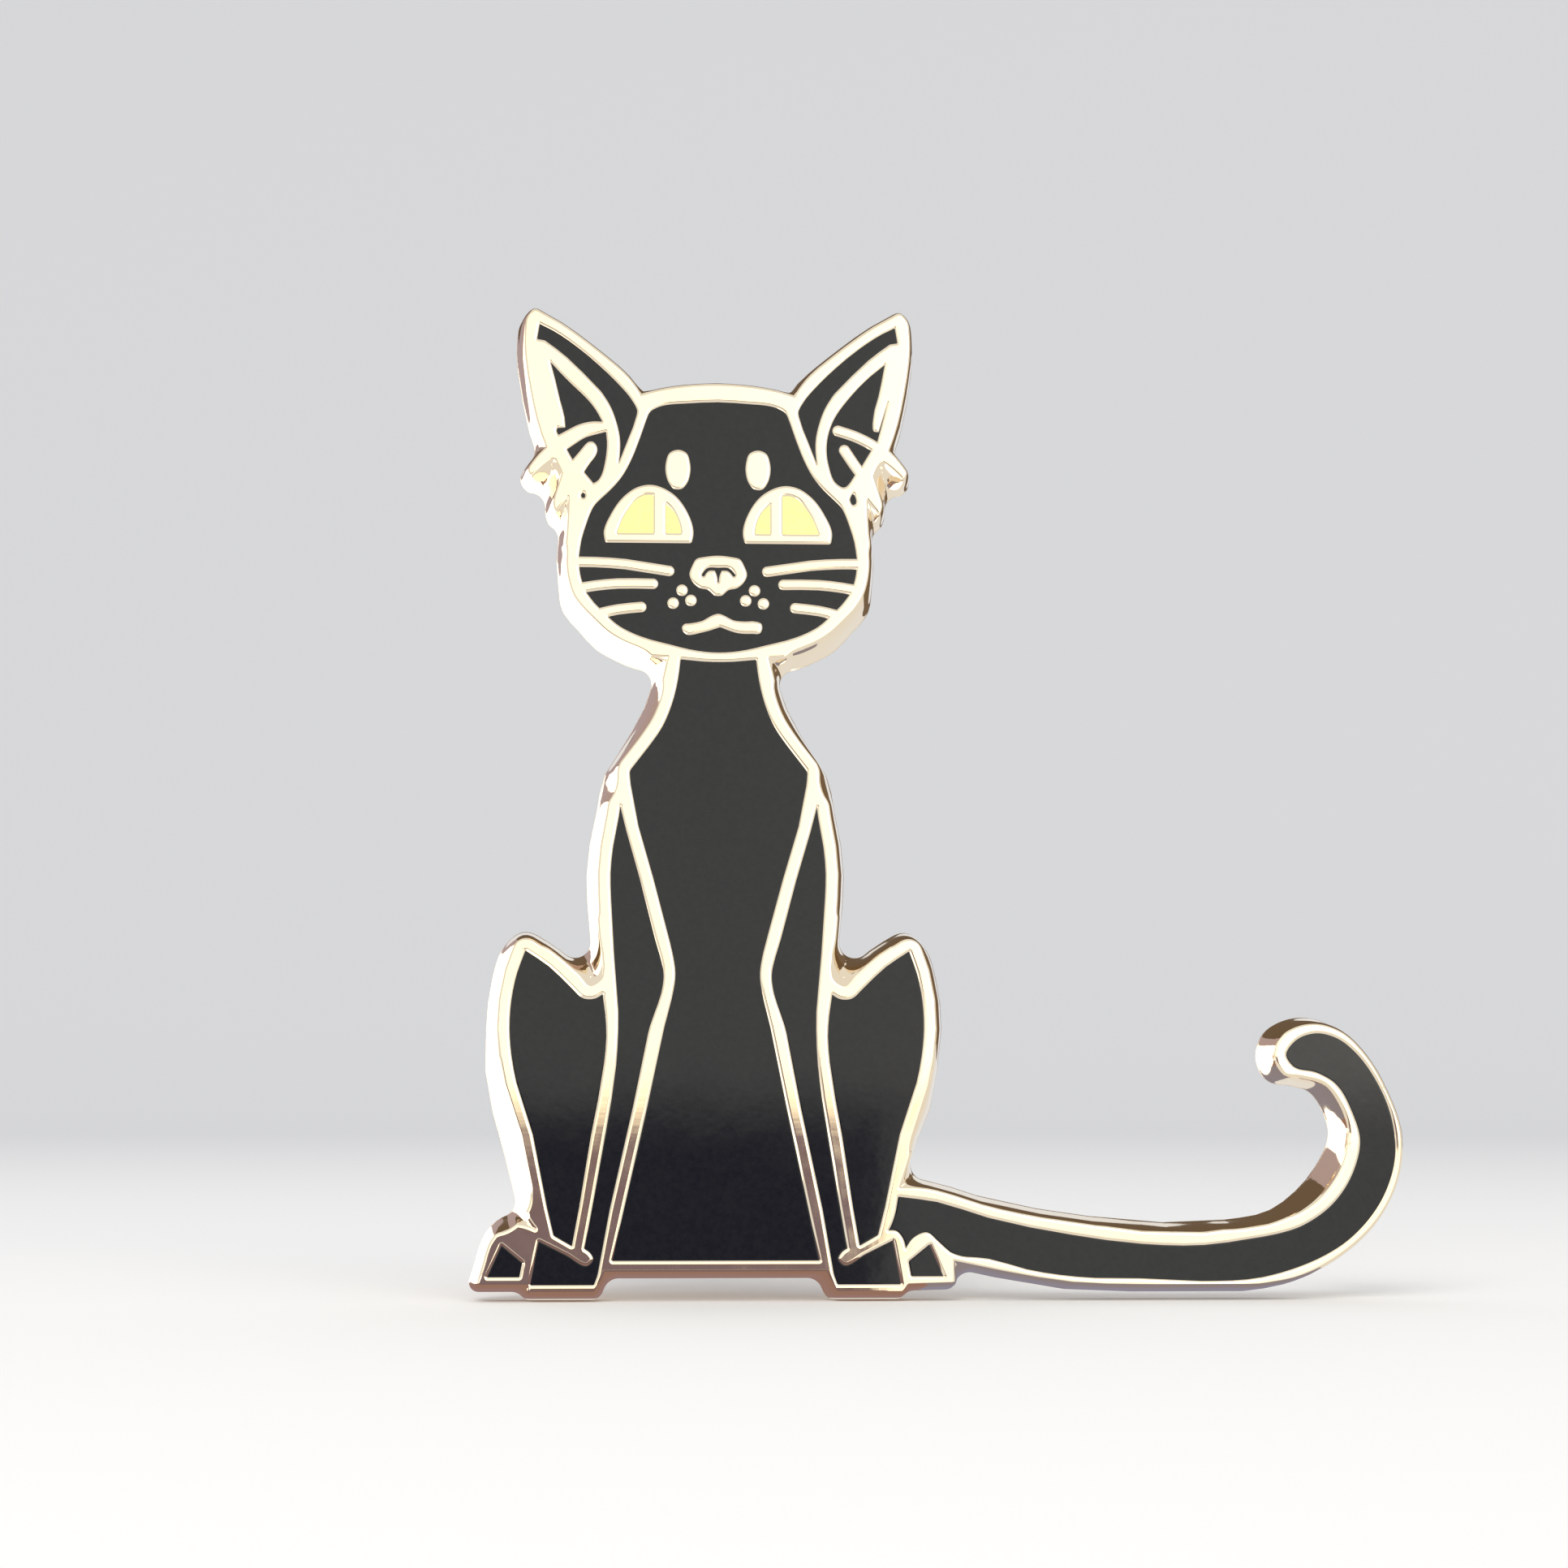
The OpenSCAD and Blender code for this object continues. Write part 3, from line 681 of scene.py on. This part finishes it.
def plated_metal(name, light, deep, polish, wave, scratch, satin_back=False):
    """Gold plating: colour drifts a little, with faint waves and hairline scratches."""
    material, tree, shader = new_material(name)
    place = object_place(tree)
    drift = noise(tree, place, 260.0, 4.0, 0.55)
    tree.links.new(ramp(tree, drift, [(0.3, light), (0.72, deep)]), shader.inputs["Base Color"])
    shader.inputs["Metallic"].default_value = 1.0
    cloud = noise(tree, place, 900.0, 5.0, 0.6)
    low, high = polish
    tree.links.new(ramp(tree, cloud, [(0.35, grey(low)), (0.75, grey(high))]), shader.inputs["Roughness"])
    hair_a = noise(tree, place, 1400.0, 2.0, 0.5, (0.06, 1.0, 3.0), (0.0, 0.5, 0.0))
    hair_b = noise(tree, place, 1400.0, 2.0, 0.5, (3.0, 1.0, 0.06), (0.0, 0.35, 0.0))
    waves = noise(tree, place, 420.0, 1.0, 0.4)
    relief = [(waves, wave, 1.0), (hair_a, scratch, 1.0), (hair_b, scratch, 1.0)]
    if satin_back:
        relief.append(add_satin_back(tree, shader, place))
    tree.links.new(bump(tree, relief), shader.inputs["Normal"])
    return material


def enamel(name, dark, light, ior, gloss):
    """Polished enamel: a glassy skin over finely grained colour, with a faint swell and orange peel."""
    material, tree, shader = new_material(name)
    place = object_place(tree)
    grain = noise(tree, place, 5200.0, 3.0, 0.6)
    tree.links.new(ramp(tree, grain, [(0.3, dark), (0.7, light)]), shader.inputs["Base Color"])
    cloud = noise(tree, place, 700.0, 4.0, 0.6)
    low, high = gloss
    tree.links.new(ramp(tree, cloud, [(0.35, grey(low)), (0.75, grey(high))]), shader.inputs["Roughness"])
    shader.inputs["IOR"].default_value = ior
    swell = noise(tree, place, 160.0, 1.0, 0.4)
    peel = noise(tree, place, 1500.0, 2.0, 0.5)
    tree.links.new(bump(tree, [(swell, 4e-5, 0.6), (peel, 1.2e-6, 1.0)]), shader.inputs["Normal"])
    return material


gold = plated_metal(
    "polished_gold",
    light=(1.0, 0.86, 0.64),
    deep=(1.0, 0.82, 0.57),
    polish=(0.04, 0.10),
    wave=1.5e-6,
    scratch=4e-7,
    satin_back=True,
)
clutch_gold = plated_metal(
    "clutch_gold",
    light=(0.95, 0.76, 0.47),
    deep=(0.90, 0.68, 0.38),
    polish=(0.14, 0.26),
    wave=3e-6,
    scratch=1e-6,
)
post_gold = plated_metal(
    "post_gold",
    light=(0.98, 0.82, 0.56),
    deep=(0.93, 0.75, 0.47),
    polish=(0.10, 0.20),
    wave=2e-6,
    scratch=1e-6,
)
black_enamel = enamel(
    "black_enamel",
    dark=(0.0050, 0.0062, 0.0092),
    light=(0.0088, 0.0098, 0.0125),
    ior=1.38,
    gloss=(0.05, 0.10),
)
lime_enamel = enamel(
    "lime_enamel",
    dark=(0.93, 0.96, 0.27),
    light=(0.96, 0.98, 0.31),
    ior=1.45,
    gloss=(0.08, 0.14),
)


# ---- Pieces on their bodies


def dress(obj, material):
    obj.data.materials.clear()
    obj.data.materials.append(material)
    return obj


def soften(obj):
    """Smooth shading, with a small bevel on the sharp edges of a CAD mesh."""
    weld = obj.modifiers.new("weld", "WELD")
    weld.merge_threshold = 1e-6
    bevel = obj.modifiers.new("soften", "BEVEL")
    bevel.width = 0.05 * MM
    bevel.segments = 2
    bevel.limit_method = "ANGLE"
    bevel.angle_limit = math.radians(35)
    bevel.harden_normals = True
    for face in obj.data.polygons:
        face.use_smooth = True


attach(dress(metal_piece, gold), "plate")
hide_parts("metal_plate")
for name, piece in enamel_pieces.items():
    is_eye = "_eye_" in name
    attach(dress(piece, lime_enamel if is_eye else black_enamel), "plate")
    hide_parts(name)
for name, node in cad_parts.items():
    if not node.hide_render:
        dress(node, post_gold if "post" in name else clutch_gold)
        soften(node)


# ---- Studio, in millimetres

FLOOR = cad_low.z / MM
GROUND = FLOOR + 0.05  # height of the cards that lie on the floor
EYE = Vector((-7.15, front - 93.0, -11.6))  # the camera
AIM = Vector((-3.49, front, -6.37))  # the point that it looks at
SENSOR_W = 36
FOCAL = 56.55
HORIZON = -14.4  # lower edge of the softbox: the line across the legs where they turn dark
BOX_Y = -420  # how far in front of the pin the softbox stands
BOX_X = (-260, 420)
BOX_TOP = 330
SPLIT_X = 65.5  # the reflected ground is dark left of this and bright right of it
FAR_Y = 420
LEFT_X, RIGHT_X = -110, 190
WARM_WHITE = (1.0, 0.96, 0.84)
PAPER_WHITE = (1.0, 0.97, 0.95)


def link(obj):
    bpy.context.scene.collection.objects.link(obj)
    return obj


def card(name, x, y, z, colour, strength=1.0, diffuse=False):
    """A flat glowing or dark rectangle, where one of x, y and z is a single number.

    Only reflections see it, unless diffuse lets it light the pin as well.
    """
    spans = [side if isinstance(side, tuple) else (side,) for side in (x, y, z)]
    a, b, c, d = itertools.product(*spans)
    mesh = bpy.data.meshes.new(name)
    mesh.from_pydata([Vector(p) * MM for p in (a, b, d, c)], [], [(0, 1, 2, 3)])
    made = link(bpy.data.objects.new(name, mesh))
    material = bpy.data.materials.new(name)
    material.use_nodes = True
    tree = material.node_tree
    tree.nodes.clear()
    light = add(tree, "ShaderNodeEmission", name="light")
    light.inputs["Color"].default_value = (*colour, 1.0)
    light.inputs["Strength"].default_value = strength
    out = add(tree, "ShaderNodeOutputMaterial")
    tree.links.new(light.outputs[0], out.inputs["Surface"])
    mesh.materials.append(material)
    made.visible_camera = False
    made.visible_diffuse = diffuse
    made.visible_shadow = False
    made.visible_transmission = False
    return made


def multiply(tree, a, b):
    """The product of a colour socket with another one or with a plain colour."""
    node = add(tree, "ShaderNodeMix", data_type="RGBA", blend_type="MULTIPLY")
    node.inputs["Factor"].default_value = 1.0
    first, second = node.inputs[6], node.inputs[7]
    tree.links.new(a, first)
    if isinstance(b, tuple):
        second.default_value = (*b, 1.0)
    else:
        tree.links.new(b, second)
    return node.outputs[2]


def add_softbox():
    """The light behind the camera. It is dimmer at the left, and falls off towards its lower edge."""
    box = card("softbox", BOX_X, BOX_Y, (HORIZON, BOX_TOP), WARM_WHITE, 1.6, diffuse=True)
    tree = box.data.materials[0].node_tree
    split = add(tree, "ShaderNodeSeparateXYZ")
    tree.links.new(object_place(tree), split.inputs[0])
    across = map_range(tree, split.outputs["X"], 32 * MM, 182 * MM)
    rise = map_range(tree, split.outputs["Z"], HORIZON * MM, -6 * MM)
    wide = ramp(tree, across, [(0.0, grey(0.5)), (0.33, grey(0.58)), (0.9, grey(1.0))])
    tall = ramp(tree, rise, [(0.0, (0.5, 0.5, 0.55)), (0.35, (0.72, 0.68, 0.66)), (1.0, grey(1.0))])
    glow = multiply(tree, multiply(tree, wide, tall), (2.0, 1.92, 1.68))
    tree.links.new(glow, tree.nodes["light"].inputs["Color"])


def add_cards():
    """Cards that shape what the polished metal reflects."""
    # Below the softbox: dark for the pin's lower part, bright for its tail
    card("front_flag", (-150, SPLIT_X), BOX_Y, (-78, HORIZON), (0.195, 0.148, 0.19))
    card("front_glow", (SPLIT_X, BOX_X[1]), BOX_Y, (-140, HORIZON), WARM_WHITE, 1.6)
    # On the ground: a dark strip just in front of the paws, then what the walls that face down see
    near_y, pin_y, behind_y = -8, -2.6, 16
    under_x, middle_x, tail_x = -13, 8, 24
    card("near_flag", (under_x, 6.6), (near_y, pin_y), GROUND, (0.20, 0.14, 0.16))
    card("under_left", (under_x, middle_x), (pin_y, behind_y), GROUND, (0.30, 0.19, 0.18))
    card("under_right", (middle_x, tail_x), (pin_y, behind_y), GROUND, (0.26, 0.25, 0.33))
    # Bright at the left and behind
    left_y = (-60, FAR_Y)
    dusk_z, dusk_top = 62, 190
    card("left_ground", (LEFT_X, under_x - 0.1), left_y, GROUND, PAPER_WHITE, 1.9)
    card("back_ground", (under_x, 16), (behind_y + 0.1, FAR_Y), GROUND, PAPER_WHITE, 1.9)
    card("left_glow", LEFT_X, left_y, (GROUND, dusk_z), (1.0, 0.98, 0.96), 1.9)
    card("left_dusk", LEFT_X, left_y, (dusk_z, dusk_top), (0.42, 0.34, 0.38))
    # Dark at the right and above
    card("right_flag", RIGHT_X, (-20, FAR_Y), (GROUND, 260), (0.17, 0.12, 0.08))
    card("top_flag", (LEFT_X, RIGHT_X), (0, FAR_Y), 150, (0.14, 0.10, 0.07))


def add_paper():
    """Seamless paper: a round floor that sweeps up on every side."""
    centre_r, flat_r, turn_r, top = 2.0, 700.0, 600.0, 2600.0
    spokes = 96
    turn_steps = np.radians(np.arange(4, 91, 4))
    profile = [(centre_r, 0.0), (flat_r / 2, 0.0), (flat_r, 0.0)]
    for a in turn_steps:
        profile.append((flat_r + turn_r * math.sin(a), turn_r * (1 - math.cos(a))))
    profile.append((flat_r + turn_r, top))
    points = []
    for r, z in profile:
        for a in np.arange(spokes) / spokes * 2 * math.pi:
            points.append((r * math.cos(a) * MM, r * math.sin(a) * MM, (FLOOR + z) * MM))
    faces = [tuple(range(spokes))]
    for i in range(len(profile) - 1):
        inner, outer = i * spokes, (i + 1) * spokes
        for k in range(spokes):
            after = (k + 1) % spokes
            faces.append((inner + k, outer + k, outer + after, inner + after))
    mesh = bpy.data.meshes.new("floor")
    mesh.from_pydata(points, [], faces)
    for face in mesh.polygons:
        face.use_smooth = True
    floor = link(bpy.data.objects.new("floor", mesh))
    floor.visible_glossy = False
    floor.visible_diffuse = False
    floor.visible_shadow = False
    material, _, shader = new_material("floor_paper")
    shader.inputs["Base Color"].default_value = (0.80, 0.79, 0.77, 1.0)
    shader.inputs["Roughness"].default_value = 1.0
    shader.inputs["Specular IOR Level"].default_value = 0.0
    mesh.materials.append(material)


def add_key_light():
    key = bpy.data.lights.new("key", "AREA")
    key.shape = "DISK"
    key.size = 300 * MM
    key.energy = 1.1
    key_light = link(bpy.data.objects.new("key", key))
    key_light.location = Vector((-160, -340, 300)) * MM
    key_light.rotation_euler = (-key_light.location).to_track_quat("-Z", "Y").to_euler()
    key_light.visible_glossy = False


def add_world():
    world = bpy.data.worlds.new("studio")
    bpy.context.scene.world = world
    world.use_nodes = True
    sky = world.node_tree.nodes["Background"]
    sky.inputs["Color"].default_value = (0.93, 0.95, 1.0, 1.0)
    sky.inputs["Strength"].default_value = 0.85


def add_camera():
    camera = bpy.data.cameras.new("camera")
    camera.sensor_width = SENSOR_W
    camera.lens = FOCAL
    camera.shift_x = 0.10
    camera.shift_y = 0.12
    camera.clip_start = 1 * MM
    camera.clip_end = 20000 * MM
    view = link(bpy.data.objects.new("camera", camera))
    view.location = EYE * MM
    view.rotation_euler = (AIM - EYE).to_track_quat("-Z", "Y").to_euler()
    bpy.context.scene.camera = view


add_paper()
add_softbox()
add_cards()
add_key_light()
add_world()
add_camera()
bpy.context.scene.view_settings.view_transform = "Standard"
